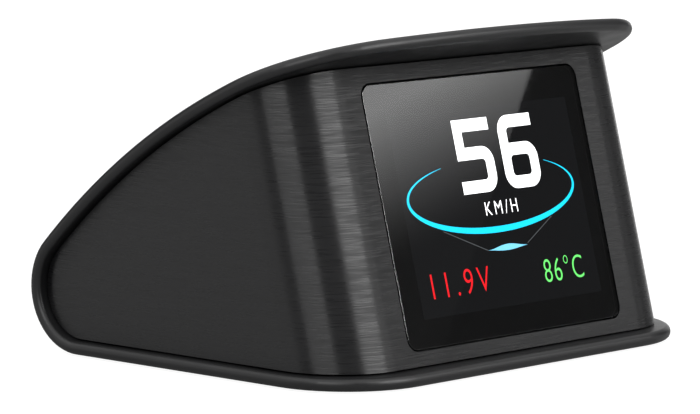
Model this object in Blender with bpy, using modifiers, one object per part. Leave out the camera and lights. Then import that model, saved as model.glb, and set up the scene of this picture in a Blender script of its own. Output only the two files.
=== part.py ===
"""Dashboard speed display: a small car gauge with a leaning smoked window under a visor.

Metres, +Z up, the window faces -Y and +X is to the right of someone reading it.
The origin is on the surface it stands on, midway between lip and nose and on the centre line.
"""
import math

import bmesh
import bpy
from mathutils import Vector
from mathutils.geometry import interpolate_bezier

# ---------------------------------------------------------------- wrapped shell
WIDTH = 0.0900                # over the rim, left to right
LENGTH = 0.0753               # from the lip to the back of the nose
HEIGHT = 0.0567               # from the shell's underside to the visor's highest edge
SHELL_WALL = 0.0022
PAD_PROUD = 0.0003            # how far the grip pad lifts the shell off the dashboard
NOSE_RADIUS = 0.0109
LIP_CORNER = 0.0160           # plan radius of the base's front corners
VISOR_CORNER = 0.0204         # plan radius of the visor's front corners
VISOR_BOW = 0.1650            # plan radius of the visor's bowed front edge
VISOR_SETBACK = 0.00475       # from the lip back to the middle of the visor's edge
NOSE_STEEPER = math.radians(6.8)     # slope at the nose, above the line from nose to visor edge
MIDDLE_FLATTER = math.radians(11.6)  # slope where the two long arcs meet, below that line
EDGE_FLATTER = math.radians(21.5)    # slope at the visor's edge, below that line
RAIL_HEIGHT = 0.0015          # ribs on the base that centre the housing
RAIL_WALL = 0.0012
RAIL_LENGTH = 0.0180

# ---------------------------------------------------------------- brushed housing
SEAM_GAP = 0.0003             # dark line between housing and shell
SIDE_OVERHANG = 0.0020        # rim beyond each side wall
LIP_REACH = 0.0036            # lip in front of the face, at the base
FACE_LEAN = math.radians(14.7)
BODY_CORNER = 0.0125          # radius of the housing's front corners
HOUSING_WALL = 0.0020
BEZEL_DEPTH = 0.0036          # thickness of the front wall around the window
BEZEL_MARGIN = 0.0030         # how far that thick part reaches past the window
POST_RADIUS = 0.0030
POST_INSET = 0.0050           # from a side wall's inner face to a post's centre
WEB_WALL = 0.0030

# ---------------------------------------------------------------- window and display
WINDOW_WIDTH = 0.0530
WINDOW_HEIGHT = 0.0438
WINDOW_CORNER = 0.0020
WINDOW_RISE = 0.0249          # window centre above the base, measured along the face
LENS_THICKNESS = 0.0015
LENS_CHAMFER = 0.00025
LENS_LEDGE = 0.0020           # width of the ledge that the lens is stuck to
GASKET_THICKNESS = 0.0005
THIN_GAP = 0.00015            # either side of the gasket
FIT_GAP = 0.0003              # between touching pieces
MODULE_WIDTH = 0.0553
MODULE_HEIGHT = 0.0401
MODULE_DEPTH = 0.0026
MODULE_SHIFT = 0.0020         # the lit area is off the module's centre by this much
TRAY_WALL = 0.0010
PANEL_THICKNESS = 0.0012
BRACKET_THICKNESS = 0.0012
BRACKET_OPENING_WIDTH = 0.0440
BRACKET_OPENING_HEIGHT = 0.0180
BRACKET_SCREW_X = 0.0335
BRACKET_SCREW_Y = 0.0130
BRACKET_MARGIN = 0.0030       # bracket's edge beyond its screws
BRACKET_POST_RADIUS = 0.0024

# ---------------------------------------------------------------- board
BOARD_RISE = 0.0095           # board's underside above the base
BOARD_THICKNESS = 0.0016
BOARD_DEPTH = 0.0420
BOARD_CLEAR = 0.0008          # board to walls, and to the back of the display
BOARD_SCREW_INSET = 0.0040
FLEX_WIDTH = 0.0160
FLEX_THICKNESS = 0.00025
FLEX_UP_THE_BACK = 0.0050     # from the module's middle to the ribbon's upper end
FLEX_LEAVES_BELOW = 0.0030    # and down to where it bends away
FLEX_BULGE = 0.0026
FLEX_APPROACH = Vector((0.0018, -0.0040))
CONNECTOR = (FLEX_WIDTH + 0.0040, 0.0042, 0.0016)
CONNECTOR_FROM_FRONT = 0.0050
CHIP_EDGE = 0.0002
CAN_RADIUS = 0.00315
CAN_HEIGHT = 0.0077
BUZZER_RADIUS = 0.0060
BUZZER_HEIGHT = 0.0065
BUZZER_HOLE = (0.0011, 0.0020)        # radius and depth

# ---------------------------------------------------------------- inlet and dial
USB_WIDTH = 0.0077
USB_HEIGHT = 0.0039
USB_DEPTH = 0.0092
USB_WALL = 0.0004
USB_BLOCK = 0.0020            # plastic block at the inlet's inner end
USB_TONGUE = 0.0055           # tongue in front of that block
USB_FROM_BACK = 0.0125        # inlet's centre from the board's back edge
DIAL_FROM_BACK = 0.0265       # dial's axis from the board's back edge
DIAL_RADIUS = 0.0059
DIAL_BUMP = 0.0006            # thumb ridge on the dial's rim
RIDGE_RADIUS = 0.0010
DIAL_THICKNESS = 0.0018
DIAL_PROUD = 0.0012           # dial's rim beyond the side wall
DIAL_PRESS = 0.0006           # travel when pressed
DIAL_BORE = 0.00115
PIN_RADIUS = 0.00085
CASE_WALL = 0.0008
CARRIAGE_THICKNESS = 0.0006
CARRIAGE_LENGTH = 0.0064
CARRIAGE_WIDTH = 0.0080
CARRIAGE_CORNER = 0.0008

# ---------------------------------------------------------------- fasteners and pad
BASE_SCREW_HEAD = 0.0024
BASE_SCREW_SHANK = 0.0012
BASE_SCREW_LENGTH = 0.0060
BOARD_SCREW_HEAD = 0.0019
BOARD_SCREW_SHANK = 0.0009
BOARD_SCREW_LENGTH = 0.0050
BRACKET_SCREW_HEAD = 0.0017
BRACKET_SCREW_SHANK = 0.0008
BRACKET_SCREW_LENGTH = 0.0040
HEAD_HEIGHT = 0.0012
SCREW_GAP = 0.00025
PAD_WIDTH = 0.0560
PAD_DEPTH = 0.0440
PAD_CORNER = 0.0060
PAD_THICKNESS = 0.0008

# ---------------------------------------------------------------- places that follow
HALF = WIDTH / 2
LIP_Y = -LENGTH / 2
BASE_TOP = PAD_PROUD + SHELL_WALL
WALL_X = HALF - SIDE_OVERHANG                 # outer face of a side wall
INNER_X = WALL_X - HOUSING_WALL
FACE_FOOT_Y = LIP_Y + LIP_REACH               # where the face meets the base
FACE_Y = FACE_FOOT_Y + WINDOW_RISE * math.sin(FACE_LEAN)
FACE_Z = BASE_TOP + WINDOW_RISE * math.cos(FACE_LEAN)
LENS_BACK = LENS_THICKNESS
LEDGE_DEPTH = LENS_BACK + GASKET_THICKNESS + 2 * THIN_GAP
MODULE_FRONT = BEZEL_DEPTH + FIT_GAP
MODULE_BACK = MODULE_FRONT + MODULE_DEPTH
BRACKET_FRONT = MODULE_BACK + FIT_GAP
BRACKET_BACK = BRACKET_FRONT + BRACKET_THICKNESS
STACK_BACK = BRACKET_BACK + FIT_GAP + HEAD_HEIGHT
BOARD_Z = BASE_TOP + BOARD_RISE
BOARD_TOP = BOARD_Z + BOARD_THICKNESS
PARTS_Z = BOARD_TOP + FIT_GAP
UPRIGHT = (math.pi / 2 - FACE_LEAN, 0.0, 0.0)  # lays a flat piece on the leaning face
SIDEWAYS = (math.pi / 2, 0.0, math.pi / 2)     # stands a flat outline in the Y-Z plane


def face_y(z, depth):
    """Y of the plane that lies behind the face by depth, at height z."""
    return FACE_Y + (z - FACE_Z) * math.tan(FACE_LEAN) + depth / math.cos(FACE_LEAN)


BOARD_FRONT = face_y(BOARD_TOP, STACK_BACK) + BOARD_CLEAR
BOARD_BACK = BOARD_FRONT + BOARD_DEPTH
POST_X = INNER_X - POST_INSET
POST_YS = (BOARD_FRONT + BOARD_SCREW_INSET, BOARD_BACK - BOARD_SCREW_INSET)
DIAL_X = WALL_X + DIAL_PROUD - DIAL_RADIUS
DIAL_Y = BOARD_BACK - DIAL_FROM_BACK
CARRIAGE_Z = PARTS_Z + CASE_WALL + FIT_GAP
DIAL_Z = CARRIAGE_Z + CARRIAGE_THICKNESS + FIT_GAP
CASE_TOP = DIAL_Z + DIAL_THICKNESS + FIT_GAP + CASE_WALL
USB_Y = BOARD_BACK - USB_FROM_BACK
USB_Z = PARTS_Z + USB_HEIGHT / 2


# ---------------------------------------------------------------- outlines
def arc(centre, radius, start, end, steps):
    """Points along an arc; an angle is measured from +Y of the outline towards +X."""
    points = []
    for step in range(steps + 1):
        angle = start + (end - start) * step / steps
        points.append((centre[0] + radius * math.sin(angle), centre[1] + radius * math.cos(angle)))
    return points


def rounded_rectangle(width, height, radius, steps=4):
    points = []
    for turn, (sx, sy) in enumerate(((1, 1), (1, -1), (-1, -1), (-1, 1))):
        centre = (sx * (width / 2 - radius), sy * (height / 2 - radius))
        start = turn * math.pi / 2
        points += arc(centre, radius, start, start + math.pi / 2, steps)
    return points


def circle(radius, x=0.0, y=0.0, steps=16):
    return arc((x, y), radius, 0.0, 2 * math.pi * (steps - 1) / steps, steps - 1)


class SideProfile:
    """The shell's outside line: flat base, round nose, two long arcs up to the visor's edge."""

    def __init__(self):
        self.nose = Vector((LENGTH / 2 - NOSE_RADIUS, PAD_PROUD + NOSE_RADIUS))
        edge = Vector((LIP_Y + VISOR_SETBACK, PAD_PROUD + HEIGHT))
        rise = math.atan2(edge.y - self.nose.y, self.nose.x - edge.x)
        self.a0 = rise + NOSE_STEEPER
        self.a1 = rise - MIDDLE_FLATTER
        self.a2 = rise - EDGE_FLATTER
        start = self.nose + NOSE_RADIUS * self.out(self.a0)
        # two radii that take the line from the nose to the edge with those slopes
        u = self.out(self.a1) - self.out(self.a0)
        v = self.out(self.a2) - self.out(self.a1)
        w = edge - start
        det = u.x * v.y - u.y * v.x
        self.r1 = (w.x * v.y - w.y * v.x) / det
        self.r2 = (u.x * w.y - u.y * w.x) / det
        self.c1 = start - self.r1 * self.out(self.a0)
        self.c2 = start + self.r1 * u - self.r2 * self.out(self.a1)

    @staticmethod
    def out(angle):
        """Outward direction where the line slopes by angle."""
        return Vector((math.sin(angle), math.cos(angle)))

    def nose_points(self, inset, steps):
        return arc(self.nose, NOSE_RADIUS - inset, math.pi, self.a0, steps)

    def rear_points(self, inset, steps):
        return arc(self.c1, self.r1 - inset, self.a0, self.a1, steps)

    def height_at(self, y, inset):
        """Height of the top at y, on whichever of the two arcs is there."""
        joint = self.c1.x + (self.r1 - inset) * math.sin(self.a1)
        centre, radius = (self.c1, self.r1 - inset) if y > joint else (self.c2, self.r2 - inset)
        return centre.y + math.sqrt(radius ** 2 - (y - centre.x) ** 2)


PROFILE = SideProfile()


def lip_edge(x):
    """Y of the base's front edge at x: straight, with rounded corners."""
    over = max(0.0, abs(x) - (HALF - LIP_CORNER))
    return LIP_Y + LIP_CORNER - math.sqrt(LIP_CORNER ** 2 - over ** 2)


def visor_edge(x):
    """Y of the visor's front edge at x: a shallow bow that turns into rounded corners."""
    bow_y = LIP_Y + VISOR_SETBACK + VISOR_BOW
    corner_x = HALF - VISOR_CORNER
    corner_y = bow_y - math.sqrt((VISOR_BOW - VISOR_CORNER) ** 2 - corner_x ** 2)
    turn_x = corner_x * VISOR_BOW / (VISOR_BOW - VISOR_CORNER)
    if abs(x) <= turn_x:
        return bow_y - math.sqrt(VISOR_BOW ** 2 - x ** 2)
    return corner_y - math.sqrt(VISOR_CORNER ** 2 - (abs(x) - corner_x) ** 2)


# ---------------------------------------------------------------- scene and building tools
for old in list(bpy.data.objects):
    bpy.data.objects.remove(old, do_unlink=True)

PARTS = bpy.data.collections.new("dashboard_speed_display")
CUTTERS = bpy.data.collections.new("cutters")
bpy.context.scene.collection.children.link(PARTS)
bpy.context.scene.collection.children.link(CUTTERS)


def material(name, colour, roughness, metallic=0.0):
    made = bpy.data.materials.new(name)
    made.use_nodes = True
    shader = made.node_tree.nodes["Principled BSDF"]
    shader.inputs["Base Color"].default_value = (*colour, 1.0)
    shader.inputs["Roughness"].default_value = roughness
    shader.inputs["Metallic"].default_value = metallic
    return made


SATIN_BLACK = material("satin_black_plastic", (0.025, 0.025, 0.027), 0.38)
BRUSHED_BLACK = material("brushed_black", (0.030, 0.030, 0.032), 0.42)
INNER_BLACK = material("inner_black_plastic", (0.020, 0.020, 0.020), 0.60)
SMOKED = material("smoked_window", (0.010, 0.011, 0.012), 0.06)
DISPLAY_GLASS = material("display_glass", (0.015, 0.016, 0.020), 0.15)
WHITE_TRAY = material("white_tray", (0.75, 0.75, 0.72), 0.50)
FOAM = material("foam", (0.02, 0.02, 0.02), 0.95)
FLEX_AMBER = material("flex_amber", (0.45, 0.20, 0.04), 0.35)
BOARD_GREEN = material("board_green", (0.02, 0.12, 0.06), 0.45)
CHIP_BLACK = material("chip_black", (0.02, 0.02, 0.02), 0.55)
STEEL = material("steel", (0.60, 0.60, 0.58), 0.30, 1.0)
PALE_PLASTIC = material("pale_plastic", (0.60, 0.58, 0.52), 0.50)
PAD_RUBBER = material("pad_rubber", (0.03, 0.03, 0.03), 0.90)


def place(obj, look, location=(0, 0, 0), rotation=(0, 0, 0), parent=None, cutter=False):
    """Link a new object, give it its finish and put it in its place."""
    (CUTTERS if cutter else PARTS).objects.link(obj)
    obj.location = location
    obj.rotation_euler = rotation
    obj.parent = parent
    if cutter:
        obj.hide_render = True
        obj.display_type = "WIRE"
    else:
        obj.data.materials.append(look)
    return obj


def frame_empty(name, location, rotation=(0, 0, 0)):
    empty = bpy.data.objects.new(name, None)
    PARTS.objects.link(empty)
    empty.location = location
    empty.rotation_euler = rotation
    return empty


def plate(name, outlines, thickness, look=None, **where):
    """A flat piece, centred on its thickness; outlines after the first are holes."""
    curve = bpy.data.curves.new(name, "CURVE")
    curve.dimensions = "2D"
    curve.fill_mode = "BOTH"
    curve.extrude = thickness / 2
    for outline in outlines:
        spline = curve.splines.new("POLY")
        spline.points.add(len(outline) - 1)
        for point, (x, y) in zip(spline.points, outline):
            point.co = (x, y, 0.0, 1.0)
        spline.use_cyclic_u = True
    drawn = bpy.data.objects.new(name, curve)
    bpy.context.scene.collection.objects.link(drawn)
    bpy.context.view_layer.update()
    graph = bpy.context.evaluated_depsgraph_get()
    mesh = bpy.data.meshes.new_from_object(drawn.evaluated_get(graph))
    bpy.data.objects.remove(drawn)
    bpy.data.curves.remove(curve)
    welded = bmesh.new()
    welded.from_mesh(mesh)
    bmesh.ops.remove_doubles(welded, verts=welded.verts, dist=1e-7)
    bmesh.ops.recalc_face_normals(welded, faces=welded.faces)
    welded.to_mesh(mesh)
    welded.free()
    mesh.name = name
    mesh.materials.clear()
    return place(bpy.data.objects.new(name, mesh), look, **where)


def box(name, size, look=None, **where):
    mesh = bpy.data.meshes.new(name)
    block = bmesh.new()
    bmesh.ops.create_cube(block, size=1.0)
    bmesh.ops.scale(block, vec=size, verts=block.verts)
    block.to_mesh(mesh)
    block.free()
    return place(bpy.data.objects.new(name, mesh), look, **where)


def turned(name, profile, look=None, steps=16, **where):
    """A turned piece; the profile (radius, height) runs from the top down its outer side."""
    mesh = bpy.data.meshes.new(name)
    line = bmesh.new()
    verts = [line.verts.new((radius, 0.0, height)) for radius, height in profile]
    for above, below in zip(verts, verts[1:]):
        line.edges.new((above, below))
    line.to_mesh(mesh)
    line.free()
    obj = place(bpy.data.objects.new(name, mesh), look, **where)
    screw = obj.modifiers.new("turn", "SCREW")
    screw.steps = steps
    screw.render_steps = steps
    screw.use_merge_vertices = True
    screw.merge_threshold = 1e-6
    screw.use_smooth_shade = True
    return obj


def bevel(obj, width, segments=2, angle=40.0):
    made = obj.modifiers.new("rounding", "BEVEL")
    made.width = width
    made.segments = segments
    made.limit_method = "ANGLE"
    made.angle_limit = math.radians(angle)
    made.use_clamp_overlap = False


def boolean(obj, tool, operation):
    """Cut, join or intersect an object with another object or with a collection."""
    made = obj.modifiers.new(operation.lower(), "BOOLEAN")
    made.operation = operation
    made.solver = "EXACT"
    if isinstance(tool, bpy.types.Collection):
        made.operand_type = "COLLECTION"
        made.collection = tool
    else:
        made.object = tool


def group(name, members):
    """A collection of helper solids that one Boolean uses together."""
    made = bpy.data.collections.new(name)
    CUTTERS.children.link(made)
    for member in members:
        made.objects.link(member)
        CUTTERS.objects.unlink(member)
    return made


def pan_screw(name, head, shank, length, **where):
    profile = [
        (0.0, HEAD_HEIGHT), (0.7 * head, HEAD_HEIGHT), (head, 0.6 * HEAD_HEIGHT), (head, 0.0),
        (shank, 0.0), (shank, -length), (0.0, -length),
    ]
    return turned(name, profile, STEEL, steps=12, **where)


FACE_FRAME = frame_empty("face_frame", (0.0, FACE_Y, FACE_Z), UPRIGHT)


# ---------------------------------------------------------------- shell
def base_screw_places():
    return [(side * POST_X, y) for y in POST_YS for side in (-1, 1)]


def wrap_shell():
    """Base, nose, top and visor in one sheet, thickened, with a rounded rim."""
    radius = max(LIP_CORNER, VISOR_CORNER)
    corner = [HALF - radius * (1 - math.sin(math.radians(angle))) for angle in (0, 17, 34, 51, 68, 90)]
    middle = [0.0, corner[0] / 3, corner[0] * 2 / 3]
    right = middle + corner
    columns = [-x for x in reversed(right[1:])] + right
    inset = SHELL_WALL / 2
    floor_z = PAD_PROUD + inset
    lip_end = lip_edge(HALF) + 2 * SHELL_WALL
    visor_start = visor_edge(HALF) + 2 * SHELL_WALL
    curve = PROFILE.nose_points(inset, 9) + PROFILE.rear_points(inset, 6)[1:]
    curve = [point for point in curve if point[0] > visor_start + SHELL_WALL]
    last_y, _ = curve[-1]
    lip_rows, link_rows, visor_rows = 2, 4, 4
    rows = lip_rows + len(curve) + link_rows + visor_rows

    mesh = bpy.data.meshes.new("wrap_shell")
    sheet = bmesh.new()
    bmesh.ops.create_grid(sheet, x_segments=len(columns) - 1, y_segments=rows - 1, size=0.5)
    for vert in sheet.verts:
        x = columns[round((vert.co.x + 0.5) * (len(columns) - 1))]
        row = round((vert.co.y + 0.5) * (rows - 1))
        if row < lip_rows:
            share = row / lip_rows
            y, z = lip_edge(x) * (1 - share) + lip_end * share, floor_z
        elif row < lip_rows + len(curve):
            y, z = curve[row - lip_rows]
        elif row < rows - visor_rows:
            share = (row - lip_rows - len(curve) + 1) / link_rows
            y = last_y * (1 - share) + visor_start * share
            z = PROFILE.height_at(y, inset)
        else:
            share = (row - rows + visor_rows + 1) / visor_rows
            y = visor_start * (1 - share) + visor_edge(x) * share
            z = PROFILE.height_at(y, inset)
        vert.co = (x, y, z)
    bmesh.ops.recalc_face_normals(sheet, faces=sheet.faces)
    sheet.to_mesh(mesh)
    sheet.free()
    mesh.shade_smooth()
    shell = place(bpy.data.objects.new("wrap_shell", mesh), SATIN_BLACK)
    wall = shell.modifiers.new("wall", "SOLIDIFY")
    wall.thickness = SHELL_WALL
    wall.offset = 0.0
    wall.use_even_offset = True
    bevel(shell, SHELL_WALL * 0.45, segments=3, angle=60.0)

    rail_x = INNER_X - FIT_GAP - RAIL_WALL / 2
    rail_y = (POST_YS[0] + POST_YS[1]) / 2
    rails = []
    for side, tag in ((-1, "left"), (1, "right")):
        rails.append(box("rail_" + tag, (RAIL_WALL, RAIL_LENGTH, 2 * RAIL_HEIGHT),
                         location=(side * rail_x, rail_y, BASE_TOP), cutter=True))
    boolean(shell, group("shell_rails", rails), "UNION")

    cuts = [plate("pad_recess", [pad_outline(FIT_GAP)], 2 * (PAD_THICKNESS + FIT_GAP),
                  location=(0, 0, 0), cutter=True)]
    wide = BASE_SCREW_HEAD + SCREW_GAP
    narrow = BASE_SCREW_SHANK + SCREW_GAP
    taper = BASE_SCREW_HEAD - BASE_SCREW_SHANK
    hole = [(0.0, SHELL_WALL), (wide, SHELL_WALL), (wide, 0.0), (narrow, -taper),
            (narrow, -2 * SHELL_WALL), (0.0, -2 * SHELL_WALL)]
    for index, (x, y) in enumerate(base_screw_places()):
        cuts.append(turned("screw_seat_%d" % index, hole, location=(x, y, PAD_PROUD + THIN_GAP),
                           rotation=(math.pi, 0, 0), cutter=True))
    boolean(shell, group("shell_cuts", cuts), "DIFFERENCE")


def pad_outline(grow=0.0):
    return rounded_rectangle(PAD_WIDTH + 2 * grow, PAD_DEPTH + 2 * grow, PAD_CORNER + grow, 4)


def grip_pad():
    plate("grip_pad", [pad_outline()], PAD_THICKNESS, PAD_RUBBER, location=(0, 0, PAD_THICKNESS / 2))


def base_screws():
    taper = BASE_SCREW_HEAD - BASE_SCREW_SHANK
    profile = [
        (0.0, 0.0), (BASE_SCREW_HEAD, 0.0), (BASE_SCREW_SHANK, -taper),
        (BASE_SCREW_SHANK, -BASE_SCREW_LENGTH), (0.0, -BASE_SCREW_LENGTH),
    ]
    for index, (x, y) in enumerate(base_screw_places(), start=1):
        turned("base_screw_%d" % index, profile, STEEL, steps=16,
               location=(x, y, PAD_PROUD + THIN_GAP), rotation=(math.pi, 0, 0))


# ---------------------------------------------------------------- housing
def sleeve_section(reach):
    """Front wall with rounded corners and two side walls, seen along the face; depth is +Y."""
    inner = BODY_CORNER - HOUSING_WALL
    flat = WALL_X - BODY_CORNER
    outside = arc((-flat, BODY_CORNER), BODY_CORNER, -math.pi / 2, -math.pi, 8)
    outside += arc((flat, BODY_CORNER), BODY_CORNER, math.pi, math.pi / 2, 8)
    inside = arc((flat, BODY_CORNER), inner, math.pi / 2, math.pi, 6)
    inside += arc((-flat, BODY_CORNER), inner, -math.pi, -math.pi / 2, 6)
    ends = [(WALL_X, reach), (INNER_X, reach)]
    return [(-WALL_X, reach)] + outside + ends + inside + [(-INNER_X, reach)]


def wall_depth(x, inset):
    """How far a surface of the front wall is behind the face at x, also round its corners."""
    over = max(0.0, x - (WALL_X - BODY_CORNER))
    return BODY_CORNER - math.sqrt((BODY_CORNER - inset) ** 2 - over ** 2)


def inside_of_shell():
    """Side view of the room between base, nose and top, a seam's width clear of the shell."""
    inset = SHELL_WALL + SEAM_GAP
    front = LIP_Y - LENGTH / 4
    line = PROFILE.nose_points(inset, 9) + PROFILE.rear_points(inset, 6)[1:]
    joint_y, _ = line[-1]
    top = []
    for step in range(1, 9):
        y = joint_y + (LIP_Y - joint_y) * step / 8
        top.append((y, PROFILE.height_at(y, inset)))
    return [(front, PAD_PROUD + inset)] + line + top + [(front, top[-1][1])]


def front_housing():
    reach = LENGTH * 1.2
    height = 2 * HEIGHT
    housing = plate("front_housing", [sleeve_section(reach)], height, BRUSHED_BLACK,
                    location=(0, FACE_Y, FACE_Z), rotation=(-FACE_LEAN, 0, 0))
    face = {"parent": FACE_FRAME, "cutter": True}

    joined = [box("bezel_block", (WINDOW_WIDTH + 2 * BEZEL_MARGIN, WINDOW_HEIGHT + 2 * BEZEL_MARGIN,
                                  BEZEL_DEPTH - HOUSING_WALL / 2),
                  location=(0, 0, -(BEZEL_DEPTH + HOUSING_WALL / 2) / 2), **face)]
    root = (wall_depth(BRACKET_SCREW_X + BRACKET_POST_RADIUS, 0.0)
            + wall_depth(BRACKET_SCREW_X - BRACKET_POST_RADIUS, HOUSING_WALL)) / 2
    for index, (x, y) in enumerate(bracket_screw_places()):
        joined.append(turned("bracket_post_%d" % index,
                             [(0.0, -root), (BRACKET_POST_RADIUS, -root),
                              (BRACKET_POST_RADIUS, -MODULE_BACK), (0.0, -MODULE_BACK)],
                             location=(x, y, 0), **face))
    post_top = BOARD_Z - FIT_GAP
    for index, (x, y) in enumerate(base_screw_places()):
        side = math.copysign(1.0, x)
        joined.append(turned("board_post_%d" % index,
                             [(0.0, post_top), (POST_RADIUS, post_top), (POST_RADIUS, 0.0), (0.0, 0.0)],
                             location=(x, y, 0), cutter=True))
        web = INNER_X + HOUSING_WALL / 2 - POST_X
        joined.append(box("post_web_%d" % index, (web, WEB_WALL, post_top),
                          location=(x + side * web / 2, y, post_top / 2), cutter=True))
    boolean(housing, group("housing_joined", joined), "UNION")

    room = plate("shell_room", [inside_of_shell()], 2 * WIDTH, rotation=SIDEWAYS, cutter=True)
    boolean(housing, room, "INTERSECT")

    gap, ledge = 2 * FIT_GAP, 2 * LENS_LEDGE
    recess = rounded_rectangle(WINDOW_WIDTH + gap, WINDOW_HEIGHT + gap, WINDOW_CORNER + FIT_GAP)
    opening = rounded_rectangle(WINDOW_WIDTH - ledge, WINDOW_HEIGHT - ledge, WINDOW_CORNER / 2)
    cuts = [
        plate("lens_recess", [recess], 2 * LEDGE_DEPTH, location=(0, 0, 0), **face),
        plate("window_opening", [opening], 4 * BEZEL_DEPTH, location=(0, 0, 0), **face),
    ]
    pilot = BRACKET_SCREW_SHANK + SCREW_GAP
    depth = BRACKET_BACK + FIT_GAP - BRACKET_SCREW_LENGTH - FIT_GAP
    for index, (x, y) in enumerate(bracket_screw_places()):
        cuts.append(turned("bracket_pilot_%d" % index,
                           [(0.0, -depth), (pilot, -depth), (pilot, -STACK_BACK), (0.0, -STACK_BACK)],
                           location=(x, y, 0), **face))
    low = BASE_SCREW_SHANK + SCREW_GAP
    low_end = PAD_PROUD + THIN_GAP + BASE_SCREW_LENGTH + FIT_GAP
    high = BOARD_SCREW_SHANK + SCREW_GAP
    high_end = BOARD_TOP + FIT_GAP - BOARD_SCREW_LENGTH - FIT_GAP
    for index, (x, y) in enumerate(base_screw_places()):
        cuts.append(turned("base_pilot_%d" % index,
                           [(0.0, low_end), (low, low_end), (low, 0.0), (0.0, 0.0)],
                           location=(x, y, 0), cutter=True))
        cuts.append(turned("board_pilot_%d" % index,
                           [(0.0, BOARD_TOP), (high, BOARD_TOP), (high, high_end), (0.0, high_end)],
                           location=(x, y, 0), cutter=True))
    cuts.append(box("inlet_opening", (4 * HOUSING_WALL, USB_WIDTH + gap, USB_HEIGHT + gap),
                    location=(WALL_X, USB_Y, USB_Z), cutter=True))
    reach_y = math.sqrt(DIAL_RADIUS ** 2 - (INNER_X - DIAL_X) ** 2)
    cuts.append(box("dial_slot", (4 * HOUSING_WALL, 2 * (reach_y + gap), DIAL_THICKNESS + gap),
                    location=(WALL_X, DIAL_Y, DIAL_Z + DIAL_THICKNESS / 2), cutter=True))
    boolean(housing, group("housing_cuts", cuts), "DIFFERENCE")


# ---------------------------------------------------------------- window and display
def bracket_screw_places():
    return [(sx * BRACKET_SCREW_X, sy * BRACKET_SCREW_Y) for sy in (-1, 1) for sx in (-1, 1)]


def display_lens():
    outline = rounded_rectangle(WINDOW_WIDTH, WINDOW_HEIGHT, WINDOW_CORNER)
    lens = plate("display_lens", [outline], LENS_THICKNESS, SMOKED,
                 location=(0, 0, -LENS_THICKNESS / 2), parent=FACE_FRAME)
    bevel(lens, LENS_CHAMFER, segments=1)


def lens_gasket():
    outer = rounded_rectangle(WINDOW_WIDTH, WINDOW_HEIGHT, WINDOW_CORNER)
    ledge = 2 * (LENS_LEDGE - FIT_GAP)
    inner = rounded_rectangle(WINDOW_WIDTH - ledge, WINDOW_HEIGHT - ledge, WINDOW_CORNER / 2)
    plate("lens_gasket", [outer, inner], GASKET_THICKNESS, FOAM,
          location=(0, 0, -(LENS_BACK + THIN_GAP + GASKET_THICKNESS / 2)), parent=FACE_FRAME)


def lcd_backlight():
    """Shallow tray that the panel sits in."""
    tray = plate("lcd_backlight", [rounded_rectangle(MODULE_WIDTH, MODULE_HEIGHT, TRAY_WALL / 2, 2)],
                 MODULE_DEPTH, WHITE_TRAY, parent=FACE_FRAME,
                 location=(MODULE_SHIFT, 0, -(MODULE_FRONT + MODULE_DEPTH / 2)))
    pocket = PANEL_THICKNESS + FIT_GAP
    cut = box("panel_pocket", (MODULE_WIDTH - 2 * TRAY_WALL, MODULE_HEIGHT - 2 * TRAY_WALL, 2 * pocket),
              location=(MODULE_SHIFT, 0, -MODULE_FRONT), parent=FACE_FRAME, cutter=True)
    boolean(tray, cut, "DIFFERENCE")


def lcd_panel():
    """Glass panel; its front layer comes up through the housing's opening, close to the window."""
    less = 2 * (TRAY_WALL + FIT_GAP)
    high = MODULE_HEIGHT - less
    middle = MODULE_FRONT + PANEL_THICKNESS / 2
    panel = box("lcd_panel", (MODULE_WIDTH - less, high, PANEL_THICKNESS), DISPLAY_GLASS,
                location=(MODULE_SHIFT, 0, -middle), parent=FACE_FRAME)
    front = LENS_BACK + THIN_GAP
    outline = rounded_rectangle(WINDOW_WIDTH - 2 * (LENS_LEDGE + FIT_GAP), high - 2 * FIT_GAP, WINDOW_CORNER / 2)
    layer = plate("panel_front", [outline], middle - front,
                  location=(0, 0, -(front + middle) / 2), parent=FACE_FRAME, cutter=True)
    boolean(panel, layer, "UNION")


def display_bracket():
    width = 2 * (BRACKET_SCREW_X + BRACKET_MARGIN)
    height = 2 * (BRACKET_SCREW_Y + BRACKET_MARGIN)
    outlines = [
        rounded_rectangle(width, height, BRACKET_MARGIN),
        rounded_rectangle(BRACKET_OPENING_WIDTH, BRACKET_OPENING_HEIGHT, BRACKET_MARGIN, 3),
    ]
    for x, y in bracket_screw_places():
        outlines.append(circle(BRACKET_SCREW_SHANK + SCREW_GAP, x, y, 12))
    plate("display_bracket", outlines, BRACKET_THICKNESS, INNER_BLACK,
          location=(0, 0, -(BRACKET_FRONT + BRACKET_THICKNESS / 2)), parent=FACE_FRAME)
    for index, (x, y) in enumerate(bracket_screw_places(), start=1):
        pan_screw("bracket_screw_%d" % index,
                  BRACKET_SCREW_HEAD, BRACKET_SCREW_SHANK, BRACKET_SCREW_LENGTH, parent=FACE_FRAME,
                  location=(x, y, -(BRACKET_BACK + FIT_GAP)), rotation=(math.pi, 0, 0))


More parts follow.
